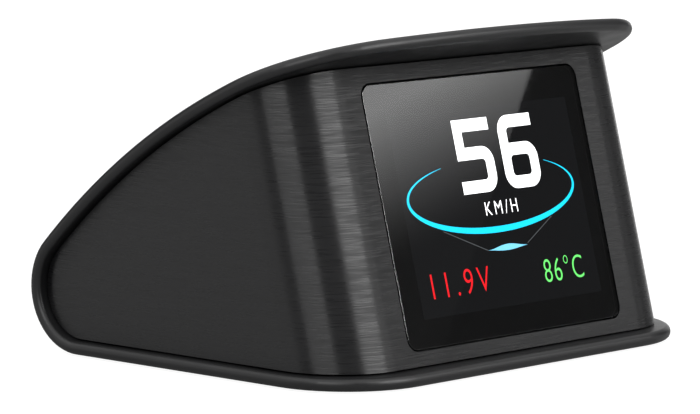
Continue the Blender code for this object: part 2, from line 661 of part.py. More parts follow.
def lcd_flex_cable():
    """Ribbon that leaves the module's back through the bracket and drops to its connector."""
    lean = Vector((math.sin(FACE_LEAN), math.cos(FACE_LEAN)))
    inward = Vector((math.cos(FACE_LEAN), -math.sin(FACE_LEAN)))
    on_back = Vector((FACE_Y, FACE_Z)) + inward * (MODULE_BACK + FIT_GAP + FLEX_THICKNESS / 2)
    top = on_back + lean * FLEX_UP_THE_BACK
    leave = on_back - lean * FLEX_LEAVES_BELOW
    entry = Vector((BOARD_FRONT + CONNECTOR_FROM_FRONT - CONNECTOR[1] / 2 - FIT_GAP,
                    PARTS_Z + CONNECTOR[2] / 2))
    drop = entry.y - leave.y
    bend = interpolate_bezier(leave.to_3d(), (leave + lean * drop * 0.35 + inward * FLEX_BULGE).to_3d(),
                              (entry - FLEX_APPROACH).to_3d(), entry.to_3d(), 12)
    path = [top] + [Vector((point.x, point.y)) for point in bend]

    mesh = bpy.data.meshes.new("lcd_flex_cable")
    strip = bmesh.new()
    verts = [strip.verts.new((-FLEX_WIDTH / 2, y, z)) for y, z in path]
    edges = [strip.edges.new(pair) for pair in zip(verts, verts[1:])]
    swept = bmesh.ops.extrude_edge_only(strip, edges=edges)["geom"]
    moved = [item for item in swept if isinstance(item, bmesh.types.BMVert)]
    bmesh.ops.translate(strip, verts=moved, vec=(FLEX_WIDTH, 0, 0))
    strip.to_mesh(mesh)
    strip.free()
    cable = place(bpy.data.objects.new("lcd_flex_cable", mesh), FLEX_AMBER)
    wall = cable.modifiers.new("film", "SOLIDIFY")
    wall.thickness = FLEX_THICKNESS
    wall.offset = 0.0


# ---------------------------------------------------------------- board
def main_board():
    width = 2 * (INNER_X - BOARD_CLEAR)
    middle = (BOARD_FRONT + BOARD_BACK) / 2
    outlines = [rounded_rectangle(width, BOARD_DEPTH, BOARD_THICKNESS, 2)]
    for x, y in base_screw_places():
        outlines.append(circle(BOARD_SCREW_SHANK + SCREW_GAP, x, y - middle, 12))
    plate("main_board", outlines, BOARD_THICKNESS, BOARD_GREEN,
          location=(0, middle, BOARD_Z + BOARD_THICKNESS / 2))
    for index, (x, y) in enumerate(base_screw_places(), start=1):
        pan_screw("board_screw_%d" % index, BOARD_SCREW_HEAD, BOARD_SCREW_SHANK, BOARD_SCREW_LENGTH,
                  location=(x, y, BOARD_TOP + FIT_GAP))


def on_board(name, size, x, from_front, look, rounding=CHIP_EDGE):
    """A block-shaped component, standing on the board."""
    part = box(name, size, look, location=(x, BOARD_FRONT + from_front, PARTS_Z + size[2] / 2))
    bevel(part, rounding, segments=1)


def board_parts():
    on_board("flex_connector", CONNECTOR, 0.0, CONNECTOR_FROM_FRONT, PALE_PLASTIC)
    on_board("processor_chip", (0.0100, 0.0100, 0.0014), 0.0020, 0.0200, CHIP_BLACK)
    on_board("bus_transceiver", (0.0050, 0.0040, 0.0015), 0.0190, 0.0310, CHIP_BLACK)
    on_board("voltage_regulator", (0.0065, 0.0060, 0.0023), 0.0060, 0.0330, CHIP_BLACK)
    on_board("power_inductor", (0.0070, 0.0070, 0.0042), -0.0090, 0.0330, CHIP_BLACK, 0.0012)
    on_board("clock_crystal", (0.0105, 0.0045, 0.0034), 0.0170, 0.0170, STEEL, 0.0015)
    shoulder = 2 * CHIP_EDGE
    can = [(0.0, CAN_HEIGHT), (CAN_RADIUS - shoulder, CAN_HEIGHT), (CAN_RADIUS, CAN_HEIGHT - shoulder),
           (CAN_RADIUS, 0.0), (0.0, 0.0)]
    for index, x in enumerate((-0.0190, -0.0270), start=1):
        turned("capacitor_%d" % index, can, STEEL, location=(x, BOARD_FRONT + 0.0330, PARTS_Z))
    hole, depth = BUZZER_HOLE
    horn = [(hole, BUZZER_HEIGHT), (BUZZER_RADIUS - shoulder, BUZZER_HEIGHT),
            (BUZZER_RADIUS, BUZZER_HEIGHT - shoulder), (BUZZER_RADIUS, 0.0), (0.0, 0.0),
            (0.0, BUZZER_HEIGHT - depth), (hole, BUZZER_HEIGHT - depth), (hole, BUZZER_HEIGHT)]
    turned("buzzer", horn, CHIP_BLACK, steps=20, location=(-0.0220, BOARD_FRONT + 0.0170, PARTS_Z))


# ---------------------------------------------------------------- inlet
def usb_inlet():
    def mouth(width, height):
        w, h, slope = width / 2, height / 2, height / 4
        return [(-w, h), (w, h), (w, -h + slope), (w - slope, -h), (-w + slope, -h), (-w, -h + slope)]
    rim_x = WALL_X - FIT_GAP
    inner = (USB_WIDTH - 2 * USB_WALL, USB_HEIGHT - 2 * USB_WALL)
    plate("usb_shell", [mouth(USB_WIDTH, USB_HEIGHT), mouth(*inner)], USB_DEPTH, STEEL,
          location=(rim_x - USB_DEPTH / 2, USB_Y, USB_Z), rotation=SIDEWAYS)
    high = inner[1] / 2 - FIT_GAP
    low, top, tip = USB_WALL / 2, high * 0.75, USB_BLOCK + USB_TONGUE
    side = [(0, -high), (USB_BLOCK, -high), (USB_BLOCK, low), (tip, low),
            (tip, top), (USB_BLOCK, top), (USB_BLOCK, high), (0, high)]
    plate("usb_tongue", [side], inner[0] - 2 * high, INNER_BLACK,
          location=(rim_x - USB_DEPTH + FIT_GAP, USB_Y, USB_Z), rotation=(math.pi / 2, 0, 0))


# ---------------------------------------------------------------- thumb dial
def thumb_dial():
    """A knurled dial that turns either way on a carriage, which slides in when it is pressed."""
    case_back = DIAL_X - DIAL_RADIUS - DIAL_PRESS - FIT_GAP - CASE_WALL
    case_front = INNER_X - BOARD_CLEAR
    case_x = (case_back + case_front) / 2
    inner_y = 2 * (DIAL_RADIUS + FIT_GAP)
    long, tall, middle = case_front - case_back, CASE_TOP - PARTS_Z, (CASE_TOP + PARTS_Z) / 2
    case = box("dial_case", (long, inner_y + 2 * CASE_WALL, tall), INNER_BLACK,
               location=(case_x, DIAL_Y, middle))
    cut = box("dial_case_hollow", (long, inner_y, tall - 2 * CASE_WALL),
              location=(case_x + CASE_WALL, DIAL_Y, middle), cutter=True)
    boolean(case, cut, "DIFFERENCE")

    axis = frame_empty("dial_axis", (DIAL_X, DIAL_Y, 0))
    carriage_x = case_front - FIT_GAP - CARRIAGE_LENGTH / 2 - DIAL_X
    outline = rounded_rectangle(CARRIAGE_LENGTH, CARRIAGE_WIDTH, CARRIAGE_CORNER, 2)
    carriage = plate("dial_carriage", [outline], CARRIAGE_THICKNESS, PALE_PLASTIC,
                     location=(carriage_x, 0, CARRIAGE_Z + CARRIAGE_THICKNESS / 2), parent=axis)
    pin_top = DIAL_Z + DIAL_THICKNESS
    pin_foot = CARRIAGE_Z + CARRIAGE_THICKNESS / 2
    pin_line = [(0.0, pin_top), (PIN_RADIUS, pin_top), (PIN_RADIUS, pin_foot), (0.0, pin_foot)]
    pin = turned("dial_pin", pin_line, parent=axis, cutter=True)
    boolean(carriage, pin, "UNION")

    bump = math.asin(RIDGE_RADIUS / DIAL_RADIUS)
    rim = arc((0, 0), DIAL_RADIUS, math.pi / 2 + bump, 2.5 * math.pi - bump, 34)
    ridge = arc((DIAL_RADIUS + DIAL_BUMP - RIDGE_RADIUS, 0), RIDGE_RADIUS, 0.0, math.pi, 6)
    plate("dial_wheel", [rim + ridge, circle(DIAL_BORE)], DIAL_THICKNESS, SATIN_BLACK,
          location=(0, 0, DIAL_Z + DIAL_THICKNESS / 2), parent=axis)


wrap_shell()
grip_pad()
base_screws()
front_housing()
display_lens()
lens_gasket()
lcd_backlight()
lcd_panel()
display_bracket()
lcd_flex_cable()
main_board()
board_parts()
usb_inlet()
thumb_dial()
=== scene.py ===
"""Looks for the dashboard speed display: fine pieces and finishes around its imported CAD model."""
import math

import bmesh
import bpy
from mathutils import Matrix, Vector

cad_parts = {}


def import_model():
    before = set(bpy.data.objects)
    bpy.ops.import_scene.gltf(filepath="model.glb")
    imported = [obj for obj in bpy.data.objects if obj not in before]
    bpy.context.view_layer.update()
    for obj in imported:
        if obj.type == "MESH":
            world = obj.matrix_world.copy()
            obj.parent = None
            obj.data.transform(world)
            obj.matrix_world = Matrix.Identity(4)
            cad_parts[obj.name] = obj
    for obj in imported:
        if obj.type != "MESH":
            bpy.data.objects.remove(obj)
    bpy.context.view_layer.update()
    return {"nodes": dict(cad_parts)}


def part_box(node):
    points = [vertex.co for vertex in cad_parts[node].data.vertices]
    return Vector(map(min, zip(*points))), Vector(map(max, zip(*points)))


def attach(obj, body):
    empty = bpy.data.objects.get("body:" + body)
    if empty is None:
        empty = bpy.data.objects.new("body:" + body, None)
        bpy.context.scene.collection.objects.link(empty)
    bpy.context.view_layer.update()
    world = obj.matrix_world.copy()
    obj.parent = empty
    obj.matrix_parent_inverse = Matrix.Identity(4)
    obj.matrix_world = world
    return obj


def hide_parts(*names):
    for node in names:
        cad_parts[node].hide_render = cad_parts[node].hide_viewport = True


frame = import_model()

# ---------------------------------------------------------------- sizes of the CAD model, in metres
WIDTH = 0.0900
LENGTH = 0.0753
HEIGHT = 0.0567
SHELL_WALL = 0.0022
PAD_PROUD = 0.0003
NOSE_RADIUS = 0.0109
LIP_CORNER = 0.0160
VISOR_CORNER = 0.0204
VISOR_BOW = 0.1650
VISOR_SETBACK = 0.00475
NOSE_STEEPER = math.radians(6.8)
MIDDLE_FLATTER = math.radians(11.6)
EDGE_FLATTER = math.radians(21.5)
SEAM_GAP = 0.0003
SIDE_OVERHANG = 0.0020
LIP_REACH = 0.0036
FACE_LEAN = math.radians(14.7)
BODY_CORNER = 0.0125
HOUSING_WALL = 0.0020
BEZEL_DEPTH = 0.0036
BEZEL_MARGIN = 0.0030
WINDOW_WIDTH = 0.0530
WINDOW_HEIGHT = 0.0438
WINDOW_CORNER = 0.0020
WINDOW_RISE = 0.0249
LENS_THICKNESS = 0.0015
LENS_LEDGE = 0.0020
LEDGE_DEPTH = 0.0023
FIT_GAP = 0.0003
PAD_WIDTH = 0.0560
PAD_DEPTH = 0.0440
PAD_CORNER = 0.0060
PAD_THICKNESS = 0.0008

HALF = WIDTH / 2
LIP_Y = -LENGTH / 2
BASE_TOP = PAD_PROUD + SHELL_WALL
WALL_X = HALF - SIDE_OVERHANG
INNER_X = WALL_X - HOUSING_WALL
FACE_Y = LIP_Y + LIP_REACH + WINDOW_RISE * math.sin(FACE_LEAN)
FACE_Z = BASE_TOP + WINDOW_RISE * math.cos(FACE_LEAN)
ON_FACE = Matrix.Translation((0, FACE_Y, FACE_Z)) @ Matrix.Rotation(math.pi / 2 - FACE_LEAN, 4, "X")
OUT_OF_FACE = ON_FACE.to_3x3() @ Vector((0, 0, 1))
UP_THE_FACE = ON_FACE.to_3x3() @ Vector((0, 1, 0))


# ---------------------------------------------------------------- materials
class Look:
    """A material whose colour, roughness and relief come from nodes on Object coordinates."""

    def __init__(self, name, colour, roughness, metallic=0.0, **sockets):
        self.made = bpy.data.materials.new(name)
        self.made.use_nodes = True
        self.tree = self.made.node_tree
        self.shader = self.tree.nodes["Principled BSDF"]
        self.colour = colour
        self.rough = roughness
        self.shader.inputs["Base Color"].default_value = (*colour, 1.0)
        self.shader.inputs["Roughness"].default_value = roughness
        self.shader.inputs["Metallic"].default_value = metallic
        for socket, value in sockets.items():
            self.shader.inputs[socket.replace("_", " ")].default_value = value
        self.where = self.tree.nodes.new("ShaderNodeTexCoord").outputs["Object"]
        self.relief = None

    def link(self, source, target):
        self.tree.links.new(source, target)

    def placed(self, scale=(1, 1, 1), turn=(0, 0, 0), move=(0, 0, 0)):
        """Object coordinates, turned first and then stretched."""
        turned = self.tree.nodes.new("ShaderNodeMapping")
        turned.inputs["Rotation"].default_value = turn
        turned.inputs["Location"].default_value = move
        self.link(self.where, turned.inputs["Vector"])
        scaled = self.tree.nodes.new("ShaderNodeMapping")
        scaled.inputs["Scale"].default_value = scale
        self.link(turned.outputs["Vector"], scaled.inputs["Vector"])
        return scaled.outputs["Vector"]

    def noise(self, scale, detail=3.0, where=None, rough=0.5):
        made = self.tree.nodes.new("ShaderNodeTexNoise")
        made.inputs["Scale"].default_value = scale
        made.inputs["Detail"].default_value = detail
        made.inputs["Roughness"].default_value = rough
        self.link(where or self.where, made.inputs["Vector"])
        return made.outputs["Fac"]

    def wave(self, scale, where, distortion=0.0):
        made = self.tree.nodes.new("ShaderNodeTexWave")
        made.inputs["Scale"].default_value = scale
        made.inputs["Distortion"].default_value = distortion
        self.link(where, made.inputs["Vector"])
        return made.outputs["Fac"]

    def cells(self, scale, where=None):
        made = self.tree.nodes.new("ShaderNodeTexVoronoi")
        made.inputs["Scale"].default_value = scale
        self.link(where or self.where, made.inputs["Vector"])
        return made.outputs["Distance"]

    def ranged(self, value, low, high, start=0.3, end=0.7):
        """The value, spread from start..end over low..high."""
        made = self.tree.nodes.new("ShaderNodeMapRange")
        for socket, number in zip(("From Min", "From Max", "To Min", "To Max"), (start, end, low, high)):
            made.inputs[socket].default_value = number
        self.link(value, made.inputs["Value"])
        return made.outputs["Result"]

    def mixed(self, value, low, high, start=0.3, end=0.7):
        made = self.tree.nodes.new("ShaderNodeValToRGB")
        made.color_ramp.elements[0].position = start
        made.color_ramp.elements[1].position = end
        made.color_ramp.elements[0].color = (*low, 1.0)
        made.color_ramp.elements[1].color = (*high, 1.0)
        self.link(value, made.inputs["Fac"])
        return made.outputs["Color"]

    def vary_colour(self, value, low, high, start=0.3, end=0.7):
        """Multiply the base colour by low..high."""
        dark = tuple(part * low for part in self.colour)
        light = tuple(part * high for part in self.colour)
        self.link(self.mixed(value, dark, light, start, end), self.shader.inputs["Base Color"])
        return self

    def vary_roughness(self, value, low, high, start=0.3, end=0.7):
        self.link(self.ranged(value, low, high, start, end), self.shader.inputs["Roughness"])
        return self

    def bump(self, value, depth, strength=1.0):
        made = self.tree.nodes.new("ShaderNodeBump")
        made.inputs["Distance"].default_value = depth
        made.inputs["Strength"].default_value = strength
        self.link(value, made.inputs["Height"])
        if self.relief is not None:
            self.link(self.relief, made.inputs["Normal"])
        self.relief = made.outputs["Normal"]
        self.link(self.relief, self.shader.inputs["Normal"])
        return self


def satin_shell():
    made = Look("satin_black_shell", (0.0070, 0.0070, 0.0076), 0.33, IOR=1.47)
    made.vary_colour(made.noise(55, 4), 0.85, 1.2)
    made.vary_roughness(made.noise(160, 5), 0.34, 0.44)
    made.bump(made.noise(5200, 2), 0.000010, 0.55)
    return made.bump(made.noise(420, 2), 0.000010, 0.35)


def brushed_housing():
    """Hairlines that run level round the front and the sides, across the slanted corners."""
    made = Look("brushed_black_housing", (0.0045, 0.0045, 0.0050), 0.34, IOR=1.47,
                Anisotropic=0.95, Anisotropic_Rotation=0.25)
    round_axis = made.tree.nodes.new("ShaderNodeTangent")
    round_axis.direction_type = "RADIAL"
    round_axis.axis = "Z"
    made.link(round_axis.outputs["Tangent"], made.shader.inputs["Tangent"])
    lines = made.noise(1.0, 1, made.placed((190, 190, 5600)), 0.6)
    ragged = made.noise(1.0, 1, made.placed((480, 480, 5000), move=(0.3, 0.1, 0.2)), 0.6)
    made.vary_colour(made.noise(1.0, 2, made.placed((45, 45, 900)), 0.6), 0.85, 1.15)
    made.vary_roughness(lines, 0.25, 0.44, 0.34, 0.66)
    made.bump(lines, 0.000010, 0.5)
    return made.bump(ragged, 0.000022, 0.6)


def smoked_window():
    made = Look("smoked_window", (0.62, 0.63, 0.64), 0.02, IOR=1.6, Transmission_Weight=1.0)
    return made.vary_roughness(made.noise(90, 3), 0.010, 0.024)


def bonded_back():
    """The window's back, where clear glue leaves no second reflection."""
    made = Look("window_bond", (1.0, 1.0, 1.0), 0.0, IOR=1.0, Transmission_Weight=1.0)
    return made.vary_colour(made.noise(300, 2), 0.98, 1.0)


def printed_border():
    made = Look("printed_black_border", (0.0035, 0.0036, 0.0038), 0.55, IOR=1.1)
    return made.vary_colour(made.noise(900, 2), 0.9, 1.1)


def lit(name, colour, strength=1.0, spread=0.06):
    """A lit part of the picture, with the fine unevenness of its pixels."""
    made = Look(name, (0.0, 0.0, 0.0), 0.6, Specular_IOR_Level=0.0)
    dark = tuple(part * (1 - spread) for part in colour)
    grid = made.cells(4500, made.placed((1, 1, 1), (-FACE_LEAN, 0.0, 0.0)))
    made.link(made.mixed(grid, colour, dark, 0.2, 0.8), made.shader.inputs["Emission Color"])
    made.shader.inputs["Emission Strength"].default_value = strength
    return made


def display_glass():
    made = Look("display_glass", (0.012, 0.013, 0.016), 0.12, IOR=1.5)
    return made.vary_roughness(made.noise(220, 3), 0.09, 0.16)


def matt_plastic(name, colour, rough, grain=3000, depth=0.00002):
    made = Look(name, colour, rough)
    made.vary_colour(made.noise(70, 4), 0.85, 1.15)
    made.vary_roughness(made.noise(260, 3), rough - 0.06, rough + 0.08)
    return made.bump(made.noise(grain, 2), depth, 0.5)


def foam():
    made = Look("gasket_foam", (0.018, 0.018, 0.018), 0.95)
    made.vary_colour(made.cells(5200), 0.5, 1.3, 0.1, 0.7)
    return made.bump(made.cells(5200), 0.00008, 0.9)


def flex_film():
    """Amber film with copper tracks along it."""
    made = Look("flex_film", (0.42, 0.19, 0.035), 0.30)
    tracks = made.wave(2.0, made.placed((160, 0, 0)))
    made.link(made.mixed(tracks, (0.34, 0.13, 0.02), (0.62, 0.33, 0.09), 0.35, 0.6),
              made.shader.inputs["Base Color"])
    made.vary_roughness(made.noise(600, 2), 0.24, 0.38)
    return made.bump(tracks, 0.00002, 0.5)


def circuit_board():
    """Green solder mask over tracks that run both ways, with a fine weave under it."""
    made = Look("circuit_board", (0.012, 0.095, 0.045), 0.35)
    along = made.wave(1.0, made.placed((230, 10, 0)), 1.5)
    across = made.wave(1.0, made.placed((10, 0, 0), (0, 0, math.pi / 2)), 1.0)
    blocks = made.cells(210)
    made.link(made.mixed(along, (0.010, 0.080, 0.038), (0.022, 0.150, 0.070), 0.55, 0.62),
              made.shader.inputs["Base Color"])
    made.vary_roughness(blocks, 0.28, 0.42, 0.1, 0.6)
    made.bump(along, 0.000020, 0.4)
    return made.bump(across, 0.000006, 0.3)


def chip_body():
    made = Look("chip_black", (0.016, 0.016, 0.017), 0.50)
    made.vary_colour(made.noise(800, 3), 0.8, 1.25)
    return made.bump(made.noise(7000, 2), 0.000012, 0.7)


def drawn_metal(name, colour, rough, scratch=(60, 60, 2600)):
    made = Look(name, colour, rough, 1.0)
    lines = made.noise(1.0, 3, made.placed(scratch), 0.6)
    made.vary_colour(lines, 0.82, 1.1)
    made.vary_roughness(lines, rough - 0.08, rough + 0.12)
    return made.bump(lines, 0.000006, 0.4)


def pad_rubber():
    made = Look("pad_rubber", (0.020, 0.020, 0.021), 0.80)
    made.vary_colour(made.noise(120, 4), 0.75, 1.35)
    made.vary_roughness(made.noise(500, 3), 0.68, 0.92)
    return made.bump(made.cells(1500), 0.00006, 0.7)


SHELL_LOOK = satin_shell()
HOUSING_LOOK = brushed_housing()
WINDOW_LOOK = smoked_window()
BOND_LOOK = bonded_back()
BORDER_LOOK = printed_border()
GLASS_LOOK = display_glass()
TRAY_LOOK = matt_plastic("white_tray", (0.70, 0.70, 0.67), 0.45)
INNER_LOOK = matt_plastic("inner_black_plastic", (0.018, 0.018, 0.018), 0.55)
PALE_LOOK = matt_plastic("pale_plastic", (0.55, 0.53, 0.47), 0.45)
FOAM_LOOK = foam()
FLEX_LOOK = flex_film()
BOARD_LOOK = circuit_board()
CHIP_LOOK = chip_body()
STEEL_LOOK = drawn_metal("screw_steel", (0.42, 0.41, 0.39), 0.32)
CAN_LOOK = drawn_metal("component_metal", (0.62, 0.62, 0.61), 0.28)
SOCKET_LOOK = drawn_metal("socket_metal", (0.55, 0.55, 0.53), 0.26, (2600, 60, 60))
GOLD_LOOK = drawn_metal("contact_gold", (0.72, 0.50, 0.18), 0.24, (60, 60, 1200))
PAD_LOOK = pad_rubber()


# ---------------------------------------------------------------- outlines
def arc(centre, radius, start, end, steps):
    """Points along an arc; an angle is measured from +Y of the outline towards +X."""
    points = []
    for step in range(steps + 1):
        angle = start + (end - start) * step / steps
        points.append((centre[0] + radius * math.sin(angle), centre[1] + radius * math.cos(angle)))
    return points


def rounded_rectangle(width, height, radius, steps=8, x=0.0, y=0.0):
    points = []
    for turn, (sx, sy) in enumerate(((1, 1), (1, -1), (-1, -1), (-1, 1))):
        centre = (x + sx * (width / 2 - radius), y + sy * (height / 2 - radius))
        start = turn * math.pi / 2
        points += arc(centre, radius, start, start + math.pi / 2, steps)
    return points


def circle(radius, x=0.0, y=0.0, steps=32):
    return arc((x, y), radius, 0.0, 2 * math.pi * (steps - 1) / steps, steps - 1)


# ---------------------------------------------------------------- shaping tools
def solid(outlines, low, high):
    """Straight-sided solid between two heights; outlines after the first are holes."""
    made = bmesh.new()
    edges = []
    for outline in outlines:
        verts = [made.verts.new((x, y, low)) for x, y in outline]
        edges += [made.edges.new(pair) for pair in zip(verts, verts[1:] + verts[:1])]
    if len(outlines) == 1:
        made.faces.new(verts)
    else:
        bmesh.ops.triangle_fill(made, edges=edges, use_beauty=True)
    top = bmesh.ops.extrude_face_region(made, geom=made.faces[:])["geom"]
    raised = [item for item in top if isinstance(item, bmesh.types.BMVert)]
    bmesh.ops.translate(made, verts=raised, vec=(0, 0, high - low))
    bmesh.ops.recalc_face_normals(made, faces=made.faces)
    return made


def block(size, middle):
    made = bmesh.new()
    bmesh.ops.create_cube(made, size=1.0)
    bmesh.ops.scale(made, vec=size, verts=made.verts)
    bmesh.ops.translate(made, verts=made.verts, vec=middle)
    return made


def lathe(profile, steps=32):
    """A turned solid; the profile (radius, height) starts and ends on the axis."""
    made = bmesh.new()
    verts = [made.verts.new((radius, 0.0, height)) for radius, height in profile]
    edges = [made.edges.new(pair) for pair in zip(verts, verts[1:])]
    bmesh.ops.spin(made, geom=verts + edges, cent=(0, 0, 0), axis=(0, 0, 1), angle=2 * math.pi,
                   steps=steps, use_merge=True)
    bmesh.ops.remove_doubles(made, verts=made.verts, dist=1e-7)
    bmesh.ops.recalc_face_normals(made, faces=made.faces)
    return made


def round_edges(made, width, segments=2, angle=40.0, keep=None):
    """Round the edges that turn by more than the angle."""
    chosen = [edge for edge in made.edges if len(edge.link_faces) == 2
              and edge.calc_face_angle() > math.radians(angle) and (keep is None or keep(edge))]
    bmesh.ops.bevel(made, geom=chosen, offset=width, offset_type="OFFSET", segments=segments,
                    profile=0.5, affect="EDGES", clamp_overlap=True, material=-1)
    return made


def moved(made, place):
    """Put a shape in its place with a matrix."""
    bmesh.ops.transform(made, matrix=place, verts=made.verts)
    return made


def joined(shapes):
    """Several shapes in one mesh."""
    whole = bmesh.new()
    for shape in shapes:
        mesh = bpy.data.meshes.new("joined")
        shape.to_mesh(mesh)
        shape.free()
        whole.from_mesh(mesh)
        bpy.data.meshes.remove(mesh)
    return whole


def thing(name, made, look=None):
    mesh = bpy.data.meshes.new(name)
    made.to_mesh(mesh)
    made.free()
    obj = bpy.data.objects.new(name, mesh)
    bpy.context.scene.collection.objects.link(obj)
    if look is not None:
        mesh.materials.append(look.made)
    return obj


def baked(obj):
    """Turn an object's modifiers into its mesh."""
    bpy.context.view_layer.update()
    graph = bpy.context.evaluated_depsgraph_get()
    mesh = bpy.data.meshes.new_from_object(obj.evaluated_get(graph))
    old, name = obj.data, obj.name
    obj.modifiers.clear()
    obj.data = mesh
    bpy.data.meshes.remove(old)
    mesh.name = name
    return obj


def combine(obj, shapes, operation):
    """Cut shapes out of an object, join them to it, or keep what they share."""
    for shape in shapes:
        tool = thing("tool", shape)
        made = obj.modifiers.new(operation, "BOOLEAN")
        made.operation = operation
        made.solver = "EXACT"
        made.object = tool
        baked(obj)
        bpy.data.meshes.remove(tool.data)
    return obj


def piece(obj, body="display_unit", replaces=(), smooth=35.0):
    """Smooth a finished piece, hang it on the body it rides on, and hide the CAD parts it stands for."""
    obj.data.shade_smooth()
    obj.data.set_sharp_from_angle(angle=math.radians(smooth))
    even = obj.modifiers.new("even_normals", "WEIGHTED_NORMAL")
    even.keep_sharp = True
    baked(obj)
    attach(obj, body)
    if replaces:
        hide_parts(*replaces)
    return obj


# ---------------------------------------------------------------- shell
class SideProfile:
    """The shell's line: flat base, round nose, two long arcs up to the visor's edge."""

    def __init__(self):
        self.nose = Vector((LENGTH / 2 - NOSE_RADIUS, PAD_PROUD + NOSE_RADIUS))
        edge = Vector((LIP_Y + VISOR_SETBACK, PAD_PROUD + HEIGHT))
        rise = math.atan2(edge.y - self.nose.y, self.nose.x - edge.x)
        self.a0 = rise + NOSE_STEEPER
        self.a1 = rise - MIDDLE_FLATTER
        self.a2 = rise - EDGE_FLATTER
        start = self.nose + NOSE_RADIUS * self.out(self.a0)
        u = self.out(self.a1) - self.out(self.a0)
        v = self.out(self.a2) - self.out(self.a1)
        w = edge - start
        det = u.x * v.y - u.y * v.x
        self.r1 = (w.x * v.y - w.y * v.x) / det
        self.r2 = (u.x * w.y - u.y * w.x) / det
        self.c1 = start - self.r1 * self.out(self.a0)
        self.c2 = start + self.r1 * u - self.r2 * self.out(self.a1)

    @staticmethod
    def out(angle):
        return Vector((math.sin(angle), math.cos(angle)))

    def joint_y(self, inset):
        return self.c1.x + (self.r1 - inset) * math.sin(self.a1)

    def height_at(self, y, inset):
        """Height of the top at y, on whichever of the two arcs is there."""
        back = y > self.joint_y(inset)
        centre, radius = (self.c1, self.r1 - inset) if back else (self.c2, self.r2 - inset)
        return centre.y + math.sqrt(radius ** 2 - (y - centre.x) ** 2)

    def stations(self, inset):
        """Where along the strip the base, the nose and the rear arc end."""
        base = self.nose.x
        nose = base + (NOSE_RADIUS - inset) * (math.pi - self.a0)
        return base, nose, nose + (self.r1 - inset) * (self.a0 - self.a1)

    def bent(self, x, along, out, inset):
        """A point of the flat strip, out from its middle, wrapped round the side view."""
        base, nose, rear = self.stations(inset)
        if along <= base:
            return x, along, PAD_PROUD + inset - out
        if along <= nose:
            centre, radius = self.nose, NOSE_RADIUS - inset
            angle = math.pi - (along - base) / radius
        elif along <= rear:
            centre, radius = self.c1, self.r1 - inset
            angle = self.a0 - (along - nose) / radius
        else:
            centre, radius = self.c2, self.r2 - inset
            angle = math.asin((self.joint_y(inset) - (along - rear) - centre.x) / radius)
        at = centre + (radius + out) * self.out(angle)
        return x, at.x, at.y


PROFILE = SideProfile()


def strip_outline(inset):
    """The shell laid flat: lip corners at one end, the bowed visor edge at the other."""
    _, _, rear = PROFILE.stations(inset)
    visor = rear + PROFILE.joint_y(inset)
    right = []
    for x, y in arc((HALF - LIP_CORNER, LIP_CORNER), LIP_CORNER, math.pi, math.pi / 2, 14):
        right.append((x, LIP_Y + y))
    bow_y = LIP_Y + VISOR_SETBACK + VISOR_BOW
    corner_x = HALF - VISOR_CORNER
    corner_y = bow_y - math.sqrt((VISOR_BOW - VISOR_CORNER) ** 2 - corner_x ** 2)
    turn = math.asin(corner_x / (VISOR_BOW - VISOR_CORNER))
    for x, y in arc((corner_x, corner_y), VISOR_CORNER, math.pi / 2, math.pi - turn, 16):
        right.append((x, visor - y))
    for x, y in arc((0.0, bow_y), VISOR_BOW, math.pi - turn, math.pi, 8)[1:]:
        right.append((x, visor - y))
    left = [(-x, along) for x, along in reversed(right) if x > 1e-6]
    return right + left


def screw_places():
    board_front = FACE_Y + (0.0136 - FACE_Z) * math.tan(FACE_LEAN) + 0.0095 / math.cos(FACE_LEAN) + 0.0008
    rows = (board_front + 0.0040, board_front + 0.0380)
    return [(side * (INNER_X - 0.0050), y) for y in rows for side in (-1, 1)]


def wrap_shell():
    """Flat strip with a rounded edge, cut into rows and wrapped round the side view."""
    inset = SHELL_WALL / 2
    made = solid([strip_outline(inset)], -inset, inset)
    round_edges(made, SHELL_WALL * 0.45, 5, 60.0)
    base, nose, rear = PROFILE.stations(inset)
    end = max(vert.co.y for vert in made.verts)
    rows = [LIP_Y + step for step in (0.004, 0.009, 0.016, 0.030, 0.045)]
    rows += [base + (nose - base) * step / 26 for step in range(27)]
    rows += [nose + (rear - nose) * step / 18 for step in range(1, 19)]
    rows += [rear + (end - rear) * step / 14 for step in range(1, 14)]
    for row in rows:
        bmesh.ops.bisect_plane(made, geom=made.verts[:] + made.edges[:] + made.faces[:], dist=1e-7,
                               plane_co=(0, row, 0), plane_no=(0, 1, 0))
    for vert in made.verts:
        vert.co = PROFILE.bent(*vert.co, inset)
    bmesh.ops.recalc_face_normals(made, faces=made.faces)
    shell = thing("rim_shell", made, SHELL_LOOK)
    rail_y = sum(y for _, y in screw_places()) / 4
    rail_x = INNER_X - FIT_GAP - 0.0006
    combine(shell, [joined([block((0.0012, 0.018, 0.003), (side * rail_x, rail_y, BASE_TOP))
                            for side in (-1, 1)])], "UNION")
    recess = rounded_rectangle(PAD_WIDTH + 2 * FIT_GAP, PAD_DEPTH + 2 * FIT_GAP, PAD_CORNER + FIT_GAP)
    seat = [(0.0, 0.0022), (0.00265, 0.0022), (0.00265, 0.0), (0.00145, -0.0012), (0.00145, -0.0044),
            (0.0, -0.0044)]
    cuts = [solid([recess], -0.0011, 0.0011)]
    for x, y in screw_places():
        place = Matrix.Translation((x, y, PAD_PROUD + 0.00015)) @ Matrix.Rotation(math.pi, 4, "X")
        cuts.append(moved(lathe(seat), place))
    combine(shell, [joined(cuts)], "DIFFERENCE")
    return piece(shell, replaces=["wrap_shell"])


